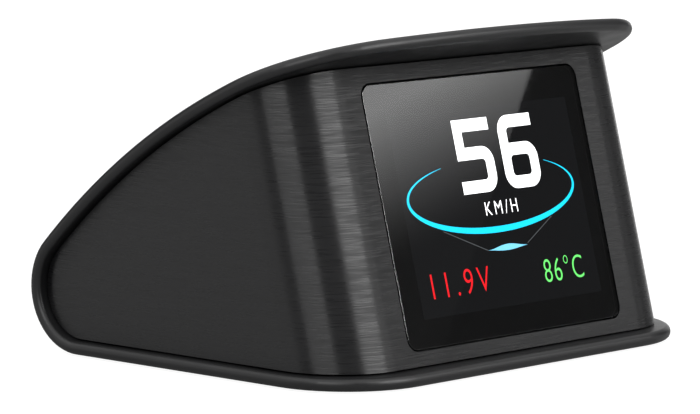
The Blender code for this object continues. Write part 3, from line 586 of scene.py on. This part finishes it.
# ---------------------------------------------------------------- housing
def sleeve_section(reach):
    """Front wall with rounded corners and two side walls, seen along the face; depth is +Y."""
    inner = BODY_CORNER - HOUSING_WALL
    flat = WALL_X - BODY_CORNER
    outside = arc((-flat, BODY_CORNER), BODY_CORNER, -math.pi / 2, -math.pi, 36)
    outside += arc((flat, BODY_CORNER), BODY_CORNER, math.pi, math.pi / 2, 36)
    inside = arc((flat, BODY_CORNER), inner, math.pi / 2, math.pi, 16)
    inside += arc((-flat, BODY_CORNER), inner, -math.pi, -math.pi / 2, 16)
    return [(-WALL_X, reach)] + outside + [(WALL_X, reach), (INNER_X, reach)] + inside + [(-INNER_X, reach)]


def inside_of_shell():
    """Side view of the room between base, nose and top, a seam's width clear of the shell."""
    inset = SHELL_WALL + SEAM_GAP
    front = LIP_Y - LENGTH / 4
    line = arc(PROFILE.nose, NOSE_RADIUS - inset, math.pi, PROFILE.a0, 28)
    line += arc(PROFILE.c1, PROFILE.r1 - inset, PROFILE.a0, PROFILE.a1, 24)[1:]
    joint_y, _ = line[-1]
    for step in range(1, 25):
        y = joint_y + (LIP_Y - joint_y) * step / 24
        line.append((y, PROFILE.height_at(y, inset)))
    return [(front, PAD_PROUD + inset)] + line + [(front, line[-1][1])]


def front_housing():
    along_face = Matrix.Translation((0, FACE_Y, FACE_Z)) @ Matrix.Rotation(-FACE_LEAN, 4, "X")
    housing = thing("brushed_sleeve", moved(solid([sleeve_section(LENGTH * 1.2)], -HEIGHT, HEIGHT), along_face),
                    HOUSING_LOOK)
    bezel = block((WINDOW_WIDTH + 2 * BEZEL_MARGIN, WINDOW_HEIGHT + 2 * BEZEL_MARGIN,
                   BEZEL_DEPTH - HOUSING_WALL / 2), (0, 0, -(BEZEL_DEPTH + HOUSING_WALL / 2) / 2))
    added = [moved(bezel, ON_FACE)]
    for sx in (-1, 1):
        for sy in (-1, 1):
            post = lathe([(0.0, -0.0021), (0.0024, -0.0021), (0.0024, -0.0065), (0.0, -0.0065)])
            added.append(moved(post, ON_FACE @ Matrix.Translation((sx * 0.0335, sy * 0.0130, 0))))
    for x, y in screw_places():
        post = lathe([(0.0, 0.0117), (0.0030, 0.0117), (0.0030, 0.0), (0.0, 0.0)])
        added.append(moved(post, Matrix.Translation((x, y, 0))))
        web = INNER_X + HOUSING_WALL / 2 - abs(x)
        added.append(block((web, 0.0030, 0.0117), (x + math.copysign(web / 2, x), y, 0.00585)))
    combine(housing, added, "UNION")
    room = solid([inside_of_shell()], -WIDTH, WIDTH)
    sideways = Matrix.Rotation(math.pi / 2, 4, "Z") @ Matrix.Rotation(math.pi / 2, 4, "X")
    combine(housing, [moved(room, sideways)], "INTERSECT")

    gap, ledge = 2 * FIT_GAP, 2 * LENS_LEDGE
    recess = rounded_rectangle(WINDOW_WIDTH + gap, WINDOW_HEIGHT + gap, WINDOW_CORNER + FIT_GAP)
    opening = rounded_rectangle(WINDOW_WIDTH - ledge, WINDOW_HEIGHT - ledge, WINDOW_CORNER / 2)
    cuts = [moved(solid([recess], -LEDGE_DEPTH, LEDGE_DEPTH), ON_FACE),
            moved(solid([opening], -4 * BEZEL_DEPTH, BEZEL_DEPTH), ON_FACE)]
    low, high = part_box("dial_wheel")
    middle = (low + high) / 2
    slot_height = high.z - low.z + gap
    cuts.append(block((0.008, 0.0093, slot_height), (WALL_X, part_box("dial_case")[0].y + 0.0070, middle.z)))
    low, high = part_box("usb_shell")
    middle = (low + high) / 2
    inlet = rounded_rectangle(high.y - low.y + gap, high.z - low.z + gap, 0.0007, 4)
    upright = Matrix.Translation((WALL_X, middle.y, middle.z)) @ sideways
    cuts.append(moved(solid([inlet], -0.004, 0.004), upright))
    combine(housing, cuts, "DIFFERENCE")
    return piece(housing, replaces=["front_housing"], smooth=24.0)


# ---------------------------------------------------------------- window and display
def flat_piece(name, outlines, low, high, look, rounding=0.0, replaces=()):
    """A flat piece that lies on the leaning face between two depths."""
    made = solid(outlines, low, high)
    if rounding:
        round_edges(made, rounding)
    return piece(thing(name, moved(made, ON_FACE), look), replaces=replaces, smooth=20.0)


def mm(points):
    return [(x / 1000, y / 1000) for x, y in points]


ACTIVE_X, ACTIVE_V = 0.0013, -0.0003
ACTIVE_WIDTH, ACTIVE_HEIGHT = 0.0448, 0.0338
PICTURE_BACK = -0.00162
PICTURE_FRONT = -0.00158


def window():
    outline = rounded_rectangle(WINDOW_WIDTH, WINDOW_HEIGHT, WINDOW_CORNER)
    lens = flat_piece("smoked_lens", [outline], -LENS_THICKNESS, 0.0, WINDOW_LOOK,
                      0.00012, ["display_lens"])
    lens.data.materials.append(BOND_LOOK.made)
    lens.data.materials.append(BORDER_LOOK.made)
    for face in lens.data.polygons:
        facing = face.normal.dot(OUT_OF_FACE)
        if facing < -0.9:
            face.material_index = 1
        elif facing < 0.2:
            face.material_index = 2
    border = rounded_rectangle(WINDOW_WIDTH - FIT_GAP, WINDOW_HEIGHT - FIT_GAP, WINDOW_CORNER)
    lit_area = rounded_rectangle(ACTIVE_WIDTH, ACTIVE_HEIGHT, 0.0002, 2, ACTIVE_X, ACTIVE_V)
    flat_piece("printed_border", [border, lit_area], -0.00156, -0.00153, BORDER_LOOK)
    field = rounded_rectangle(ACTIVE_WIDTH + 0.0008, ACTIVE_HEIGHT + 0.0008, 0.0002, 2, ACTIVE_X, ACTIVE_V)
    flat_piece("picture_field", [field], -0.00165, -0.00163,
               lit("picture_field_glow", (0.0075, 0.0078, 0.0088), 1.0, 0.15))


def digit_five(w=8.85, h=12.5, t=2.1, mid=7.75, r=2.7, ri=0.75):
    bowl = arc((w - r, mid - r), r, 0.0, math.pi / 2, 8) + arc((w - r, r), r, math.pi / 2, math.pi, 8)
    inner = arc((w - t - ri, t + ri), ri, math.pi, math.pi / 2, 5)
    inner += arc((w - t - ri, mid - t - ri), ri, math.pi / 2, 0.0, 5)
    top = [(0, h), (w, h), (w, h - t), (t, h - t), (t, mid)]
    return top + bowl + [(0, 0), (0, t)] + inner + [(0, mid - t)]


def digit_six(w=8.85, h=12.5, t=2.1, mid=7.75, r=2.7, ri=0.75):
    outer = arc((r, h - r), r, 0.0, -math.pi / 2, 8) + arc((r, r), r, -math.pi / 2, -math.pi, 8)
    outer += arc((w - r, r), r, math.pi, math.pi / 2, 8) + arc((w - r, mid - r), r, math.pi / 2, 0.0, 8)
    inner = arc((t + ri, h - t - ri), ri, -math.pi / 2, 0.0, 5)
    hole = rounded_rectangle(w - 2 * t, mid - 2 * t, ri, 5, w / 2, mid / 2)
    return [(w - 0.3, h)] + outer + [(t, mid)] + inner + [(w - 0.3, h - t)], hole


def shifted(points, x, y):
    return mm([(px + x, py + y) for px, py in points])


def picture(name, outlines, look, low=PICTURE_BACK, high=PICTURE_FRONT):
    flat_piece(name, outlines, low, high, look)


def lettering(name, words, x, v, height, squeeze, look, spacing=1.12):
    """Plain figures and units, from the font that comes with the modeller."""
    curve = bpy.data.curves.new(name, "FONT")
    curve.body = words
    curve.size = 1.0
    curve.offset = -0.012
    curve.space_character = spacing
    curve.extrude = 0.01
    drawn = bpy.data.objects.new(name, curve)
    bpy.context.scene.collection.objects.link(drawn)
    bpy.context.view_layer.update()
    mesh = bpy.data.meshes.new_from_object(drawn.evaluated_get(bpy.context.evaluated_depsgraph_get()))
    bpy.data.objects.remove(drawn)
    bpy.data.curves.remove(curve)
    made = bmesh.new()
    made.from_mesh(mesh)
    bpy.data.meshes.remove(mesh)
    bmesh.ops.remove_doubles(made, verts=made.verts, dist=1e-6)
    bmesh.ops.recalc_face_normals(made, faces=made.faces)
    low = Vector([min(vert.co[axis] for vert in made.verts) for axis in range(3)])
    high = Vector([max(vert.co[axis] for vert in made.verts) for axis in range(3)])
    size = height / (high.y - low.y)
    bmesh.ops.translate(made, verts=made.verts, vec=-low)
    bmesh.ops.scale(made, verts=made.verts,
                    vec=(size * squeeze, size, (PICTURE_FRONT - PICTURE_BACK) / (high.z - low.z)))
    bmesh.ops.translate(made, verts=made.verts, vec=(x, v, PICTURE_BACK))
    piece(thing(name, moved(made, ON_FACE), look))


def ring_outline(cx=1.0, cy=2.1, steps=72):
    """A dial arc like a smile: thickest at the bottom, tapering to nothing at both ends."""
    outer, inner = [], []
    for step in range(steps + 1):
        share = step / steps
        angle = math.radians(124 + (406 - 124) * share)
        swell = math.sin(math.pi * share)
        inner.append((cx + 20.4 * math.cos(angle), cy + 5.85 * math.sin(angle)))
        outer.append((cx + (20.5 + 0.75 * swell) * math.cos(angle),
                      cy + (5.9 + 0.98 * swell) * math.sin(angle)))
    return mm(outer + inner[::-1])


def stroke(start, end, width):
    a, b = Vector(start), Vector(end)
    side = (b - a).orthogonal().normalized() * width / 2
    return mm([a + side, b + side, b - side, a - side])


def leaf_outline(cx=2.4, cy=-7.5, half=5.0):
    top, bottom = [], []
    for step in range(25):
        share = step / 24
        x = cx - half + 2 * half * share
        lean = 0.1 * (share - 0.5)
        top.append((x, cy + lean + 0.62 * math.sin(math.pi * share) ** 1.8))
        bottom.append((x, cy + lean - 0.42 * math.sin(math.pi * share) ** 1.3))
    return mm(top + bottom[::-1][1:-1])


def display():
    white = lit("picture_white", (1.0, 1.0, 1.0), 2.9)
    cyan = lit("picture_cyan", (0.010, 0.62, 0.93), 2.1)
    ice = lit("picture_ice", (0.22, 0.70, 0.97), 1.8)
    grey = lit("picture_grey", (0.30, 0.32, 0.34), 0.6)
    red = lit("picture_red", (0.85, 0.012, 0.018), 1.9)
    green = lit("picture_green", (0.16, 0.85, 0.17), 1.9)
    picture("speed_tens", [shifted(digit_five(), -5.9, 2.15)], white)
    six, hole = digit_six()
    picture("speed_units", [shifted(six, 5.15, 2.1), shifted(hole, 5.15, 2.1)], white)
    lettering("unit_label", "KM/H", -0.00142, -0.00178, 0.0023, 0.84, white, 1.35)
    picture("dial_arc", [ring_outline()], cyan)
    picture("guide_line_left", [stroke((-12.6, -3.4), (-2.6, -7.55), 0.10)], grey)
    picture("guide_line_right", [stroke((14.6, -3.3), (7.4, -7.2), 0.10)], grey)
    picture("road_mark", [leaf_outline()], ice)
    lettering("voltage_reading", "11.9V", -0.0178, -0.0142, 0.0042, 0.84, red, 1.32)
    lettering("heat_reading", "86°C", 0.0102, -0.0143, 0.0041, 0.78, green, 1.14)


# ---------------------------------------------------------------- small pieces
def cross_recess(radius, depth):
    """Cutter for a cross recess, its mouth at height 0."""
    arms = []
    for turn in (0.0, math.pi / 2):
        arm = block((2 * radius, 0.36 * radius, 2 * depth), (0, 0, 0))
        lower = [vert for vert in arm.verts if vert.co.z < 0]
        bmesh.ops.scale(arm, verts=lower, vec=(0.45, 0.7, 1.0))
        arms.append(moved(arm, Matrix.Rotation(turn, 4, "Z")))
    return arms


def screw(name, profile, recess, place, replaces):
    """A turned screw with a cross recess; the recess is radius, depth and the head's height."""
    radius, depth, top = recess
    body = thing(name, lathe(profile, 28), STEEL_LOOK)
    cutters = [moved(arm, Matrix.Translation((0, 0, top))) for arm in cross_recess(radius, depth)]
    combine(body, cutters, "DIFFERENCE")
    body.data.transform(place)
    return piece(body, replaces=[replaces])


def threaded(shank, start, end, pitch=0.0006):
    """A shank's outline with rings for its thread, down to a blunt end."""
    line = []
    height = start
    while height - pitch > end + pitch:
        line += [(shank * 0.80, height), (shank, height - pitch / 2)]
        height -= pitch
    return line + [(shank * 0.80, height), (shank * 0.45, end), (0.0, end)]


def screws():
    for index, (x, y) in enumerate(screw_places(), start=1):
        flat = [(0.0, 0.0), (0.0024, 0.0), (0.0024, -0.00012), (0.0012, -0.0012)]
        flat += threaded(0.0012, -0.0014, -0.0060)
        place = Matrix.Translation((x, y, PAD_PROUD + 0.00015)) @ Matrix.Rotation(math.pi, 4, "X")
        screw("base_fixing_%d" % index, flat, (0.0012, 0.0009, 0.0), place, "base_screw_%d" % index)
        low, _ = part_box("board_screw_%d" % index)
        pan = [(0.0, 0.0012), (0.0009, 0.0012), (0.0015, 0.00105), (0.0018, 0.0007),
               (0.0019, 0.0003), (0.0019, 0.0),
               (0.0009, 0.0)] + threaded(0.0009, -0.0002, -0.0050)
        screw("board_fixing_%d" % index, pan, (0.0009, 0.0006, 0.0012),
              Matrix.Translation((x, y, low.z + 0.0050)), "board_screw_%d" % index)
    spots = [(sx * 0.0335, sy * 0.0130) for sy in (-1, 1) for sx in (-1, 1)]
    for index, (x, y) in enumerate(spots, start=1):
        pan = [(0.0, 0.0012), (0.0008, 0.0012), (0.0013, 0.00105), (0.0016, 0.0007),
               (0.0017, 0.0003), (0.0017, 0.0),
               (0.0008, 0.0)] + threaded(0.0008, -0.0002, -0.0040)
        place = ON_FACE @ Matrix.Translation((x, y, -0.0083)) @ Matrix.Rotation(math.pi, 4, "X")
        screw("bracket_fixing_%d" % index, pan, (0.0008, 0.0006, 0.0012), place, "bracket_screw_%d" % index)


def grip_pad():
    """Rubber pad with moulded ribs across its underside."""
    ribs = [solid([rounded_rectangle(PAD_WIDTH, PAD_DEPTH, PAD_CORNER)], 0.00022, PAD_THICKNESS)]
    count, pitch = 24, 0.00175
    for index in range(count):
        y = (index - (count - 1) / 2) * pitch
        over = max(0.0, abs(y) - (PAD_DEPTH / 2 - PAD_CORNER))
        half = PAD_WIDTH / 2 - PAD_CORNER + math.sqrt(PAD_CORNER ** 2 - over ** 2) - 0.0008
        rib = block((2 * half, 0.0011, 0.0004), (0, y, 0.0002))
        ribs.append(round_edges(rib, 0.00012, 1, keep=lambda edge: max(v.co.z for v in edge.verts) < 0.0001))
    return piece(thing("ribbed_pad", joined(ribs), PAD_LOOK), replaces=["grip_pad"])


def thumb_dial():
    """Dial with a knurled rim and a thumb ridge."""
    low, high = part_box("dial_wheel")
    centre = Vector((0.0383, (low.y + high.y) / 2))
    radius, teeth = 0.0059, 56
    rim = []
    for step in range(teeth * 4):
        angle = 2 * math.pi * step / (teeth * 4)
        off = math.atan2(math.sin(angle - math.pi / 2), math.cos(angle - math.pi / 2))
        crest = 0.0006 * max(0.0, 1 - (off * radius / 0.00105) ** 2)
        notch = 0.00022 if step % 4 in (0, 1) and crest == 0.0 else 0.0
        reach = radius + crest - notch
        rim.append((centre.x + reach * math.sin(angle), centre.y + reach * math.cos(angle)))
    wheel = solid([rim, circle(0.00115, centre.x, centre.y)], low.z, high.z)
    round_edges(wheel, 0.00012, 1, 60, keep=lambda edge: abs(edge.verts[0].co.z - edge.verts[1].co.z) < 1e-7)
    return piece(thing("knurled_dial", wheel, SHELL_LOOK), "dial_wheel", ["dial_wheel"])


def usb_inlet():
    """Folded metal mouth with its seam, and a tongue with five contacts."""
    low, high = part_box("usb_shell")
    middle = (low + high) / 2

    def mouth(shrink):
        w, h = (high.y - low.y) / 2 - shrink, (high.z - low.z) / 2 - shrink
        slope = h / 2
        line = arc((-w + 0.0004, h - 0.0004), 0.0004, -math.pi / 2, 0.0, 4)
        line += arc((w - 0.0004, h - 0.0004), 0.0004, 0.0, math.pi / 2, 4)
        return line + [(w, -h + slope), (w - slope, -h), (-w + slope, -h), (-w, -h + slope)]

    sideways = Matrix.Rotation(math.pi / 2, 4, "Z") @ Matrix.Rotation(math.pi / 2, 4, "X")
    place = Matrix.Translation((0, middle.y, middle.z)) @ sideways
    tube = solid([mouth(0.0), mouth(0.0004)], low.x, high.x)
    round_edges(tube, 0.0001, 2, 60, keep=lambda edge: abs(edge.verts[0].co.z - edge.verts[1].co.z) < 1e-7)
    inlet = thing("inlet_mouth", moved(tube, place), SOCKET_LOOK)
    seam = block((0.0060, 0.00012, 0.0003), (middle.x + 0.0012, middle.y, high.z))
    combine(inlet, [seam], "DIFFERENCE")
    piece(inlet, replaces=["usb_shell"])
    low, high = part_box("usb_tongue")
    middle = (low + high) / 2
    top = low.z + (high.z - low.z) * 0.86
    strips = []
    for index in range(5):
        strip = block((0.0046, 0.00035, 0.00012), (high.x - 0.0027, middle.y + (index - 2) * 0.0007, top))
        strips.append(round_edges(strip, 0.00004, 1))
    piece(thing("inlet_contacts", joined(strips), GOLD_LOOK))


def finish_nodes():
    """Finishes for the CAD solids whose own shape is shown."""
    looks = {
        "lens_gasket": FOAM_LOOK, "lcd_panel": GLASS_LOOK, "lcd_backlight": TRAY_LOOK,
        "display_bracket": INNER_LOOK, "lcd_flex_cable": FLEX_LOOK, "flex_connector": PALE_LOOK,
        "main_board": BOARD_LOOK, "processor_chip": CHIP_LOOK, "bus_transceiver": CHIP_LOOK,
        "voltage_regulator": CHIP_LOOK, "power_inductor": CHIP_LOOK, "clock_crystal": CAN_LOOK,
        "capacitor_1": CAN_LOOK, "capacitor_2": CAN_LOOK, "buzzer": CHIP_LOOK,
        "usb_tongue": INNER_LOOK, "dial_case": INNER_LOOK, "dial_carriage": PALE_LOOK,
    }
    for name, look in looks.items():
        slots = frame["nodes"][name].material_slots
        for slot in slots:
            slot.material = look.made


wrap_shell()
front_housing()
window()
display()
screws()
grip_pad()
thumb_dial()
usb_inlet()
finish_nodes()

# ---------------------------------------------------------------- studio
VIEW_TURN = math.radians(-46.6)
VIEW_RISE = math.radians(7.15)
VIEW_DISTANCE = 0.694
VIEW_AIM = Vector((-0.01647, -0.01040, 0.02604))
FLOOR_REACH = 4.0
CARD_REACH = 1.0
CARD_RADIANCE = 2.85


def direction(turn, rise):
    """Unit vector; turn is measured from -Y towards +X, rise above the floor."""
    return Vector((math.sin(turn) * math.cos(rise), -math.cos(turn) * math.cos(rise), math.sin(rise)))


def camera():
    made = bpy.data.cameras.new("camera")
    made.lens = 214.6
    made.sensor_width = 36.0
    made.clip_start = 0.01
    obj = bpy.data.objects.new("camera", made)
    bpy.context.scene.collection.objects.link(obj)
    towards = direction(VIEW_TURN, VIEW_RISE)
    obj.location = VIEW_AIM + towards * VIEW_DISTANCE
    obj.rotation_euler = (-towards).to_track_quat("-Z", "Y").to_euler()
    bpy.context.scene.camera = obj
    return obj.location.copy()


def unseen_by_others(obj):
    """Leave an object to the camera, so that the piece neither mirrors it nor is lit by it."""
    obj.visible_diffuse = False
    obj.visible_glossy = False
    obj.visible_transmission = False
    obj.visible_shadow = False


def floor(name, colour, glow, height):
    made = bmesh.new()
    bmesh.ops.create_grid(made, x_segments=1, y_segments=1, size=FLOOR_REACH)
    bmesh.ops.translate(made, verts=made.verts, vec=(0.0, 0.0, height))
    pale = Look(name, colour, 0.8)
    pale.vary_colour(pale.noise(3, 2), 0.99, 1.01)
    pale.shader.inputs["Emission Color"].default_value = (1.0, 1.0, 1.0, 1.0)
    pale.shader.inputs["Emission Strength"].default_value = glow
    obj = thing(name, made, pale)
    return obj


def world(low, high):
    """Dim near the horizon and below it, and brighter overhead."""
    made = bpy.data.worlds.new("studio")
    bpy.context.scene.world = made
    made.use_nodes = True
    tree = made.node_tree
    shade = tree.nodes["Background"]
    shade.inputs["Color"].default_value = (1.0, 1.0, 1.0, 1.0)
    towards = tree.nodes.new("ShaderNodeTexCoord")
    parts = tree.nodes.new("ShaderNodeSeparateXYZ")
    tree.links.new(towards.outputs["Generated"], parts.inputs["Vector"])
    grow = tree.nodes.new("ShaderNodeMapRange")
    grow.interpolation_type = "SMOOTHSTEP"
    grow.inputs["From Min"].default_value = 0.38
    grow.inputs["From Max"].default_value = 0.84
    grow.inputs["To Min"].default_value = low
    grow.inputs["To Max"].default_value = high
    tree.links.new(parts.outputs["Z"], grow.inputs["Value"])
    tree.links.new(grow.outputs["Result"], shade.inputs["Strength"])


def softbox(name, turn, rise, distance, width, height, radiance):
    """Rectangular area light that faces the object."""
    light = bpy.data.lights.new(name, "AREA")
    light.shape = "RECTANGLE"
    light.size = width
    light.size_y = height
    light.energy = radiance * math.pi * width * height
    obj = bpy.data.objects.new(name, light)
    bpy.context.scene.collection.objects.link(obj)
    towards = direction(math.radians(turn), math.radians(rise))
    obj.location = towards * distance
    obj.rotation_euler = towards.to_track_quat("Z", "Y").to_euler()
    obj.visible_camera = False


def mirrored_spot(eye, x, v, reach):
    """Where the eye, looking into the window at (x, v), meets a plane that faces the window."""
    plane = Vector((0, FACE_Y, FACE_Z))
    behind = eye - 2 * (eye - plane).dot(OUT_OF_FACE) * OUT_OF_FACE
    facing = (plane - behind).normalized()
    point = plane + Vector((1, 0, 0)) * x + UP_THE_FACE * v
    ray = (point - behind).normalized()
    return point + ray * (reach - (point - plane).dot(facing)) / ray.dot(facing)


def window_card(eye):
    """Big soft light to the right of the camera; the window mirrors its slanted edge and soft foot."""
    zero = mirrored_spot(eye, 0.0, 0.0, CARD_REACH)
    along_x = (mirrored_spot(eye, 0.001, 0.0, CARD_REACH) - zero) * 1000
    along_v = (mirrored_spot(eye, 0.0, 0.001, CARD_REACH) - zero) * 1000
    corners = [(-0.0250, -0.0306), (0.0156, 0.0216), (0.0310, 0.0414), (0.0500, 0.1300),
               (-0.2900, 0.1300), (-0.2900, -0.0306)]
    made = bmesh.new()
    face = made.faces.new([made.verts.new(zero + along_x * x + along_v * v) for x, v in corners])
    flat = made.loops.layers.uv.new("flat")
    for loop, corner in zip(face.loops, corners):
        loop[flat].uv = corner
    card = thing("soft_card", made)
    shade = bpy.data.materials.new("soft_card")
    shade.use_nodes = True
    tree = shade.node_tree
    tree.nodes.clear()
    where = tree.nodes.new("ShaderNodeUVMap")
    where.uv_map = "flat"
    slope = tree.nodes.new("ShaderNodeVectorMath")
    slope.operation = "DOT_PRODUCT"
    slope.inputs[1].default_value = (-0.25, 1.0, 0.0)
    tree.links.new(where.outputs["UV"], slope.inputs[0])
    grow = tree.nodes.new("ShaderNodeMapRange")
    grow.inputs["From Min"].default_value = -0.002
    grow.inputs["From Max"].default_value = 0.024
    tree.links.new(slope.outputs["Value"], grow.inputs["Value"])
    squared = tree.nodes.new("ShaderNodeMath")
    squared.operation = "POWER"
    squared.inputs[1].default_value = 2.0
    tree.links.new(grow.outputs["Result"], squared.inputs[0])
    scaled = tree.nodes.new("ShaderNodeMath")
    scaled.operation = "MULTIPLY_ADD"
    scaled.inputs[1].default_value = CARD_RADIANCE
    scaled.inputs[2].default_value = 0.12
    tree.links.new(squared.outputs["Value"], scaled.inputs[0])
    glow = tree.nodes.new("ShaderNodeEmission")
    tree.links.new(scaled.outputs["Value"], glow.inputs["Strength"])
    out = tree.nodes.new("ShaderNodeOutputMaterial")
    tree.links.new(glow.outputs["Emission"], out.inputs["Surface"])
    card.data.materials.append(shade)
    card.visible_camera = False


def backdrop():
    """White room behind everything, which only the camera sees."""
    made = bmesh.new()
    bmesh.ops.create_icosphere(made, subdivisions=4, radius=FLOOR_REACH)
    bmesh.ops.reverse_faces(made, faces=made.faces)
    room = Look("white_room", (0.0, 0.0, 0.0), 1.0)
    room.shader.inputs["Emission Color"].default_value = (1.0, 1.0, 1.0, 1.0)
    room.shader.inputs["Emission Strength"].default_value = 1.0
    obj = thing("backdrop", made, room)
    unseen_by_others(obj)


def studio():
    eye = camera()
    unseen_by_others(floor("pale_floor", (0.12, 0.12, 0.12), 0.93, 0.0))
    floor("bounce", (0.25, 0.25, 0.25), 0.11, -0.0002).visible_camera = False
    backdrop()
    world(0.09, 1.35)
    scene = bpy.context.scene
    scene.view_settings.view_transform = "Standard"
    scene.view_settings.look = "None"
    window_card(eye)
    softbox("front_softbox", 9, 26, 1.0, 0.62, 0.50, 6.6)
    softbox("left_softbox", -69, 26, 1.0, 0.60, 0.50, 3.5)
    softbox("side_softbox", -128, 24, 1.0, 0.90, 0.90, 0.85)
    softbox("low_softbox", 52, 4.5, 1.2, 0.80, 0.14, 1.1)
    softbox("back_softbox", 130, 4, 1.2, 1.1, 0.5, 1.2)


studio()
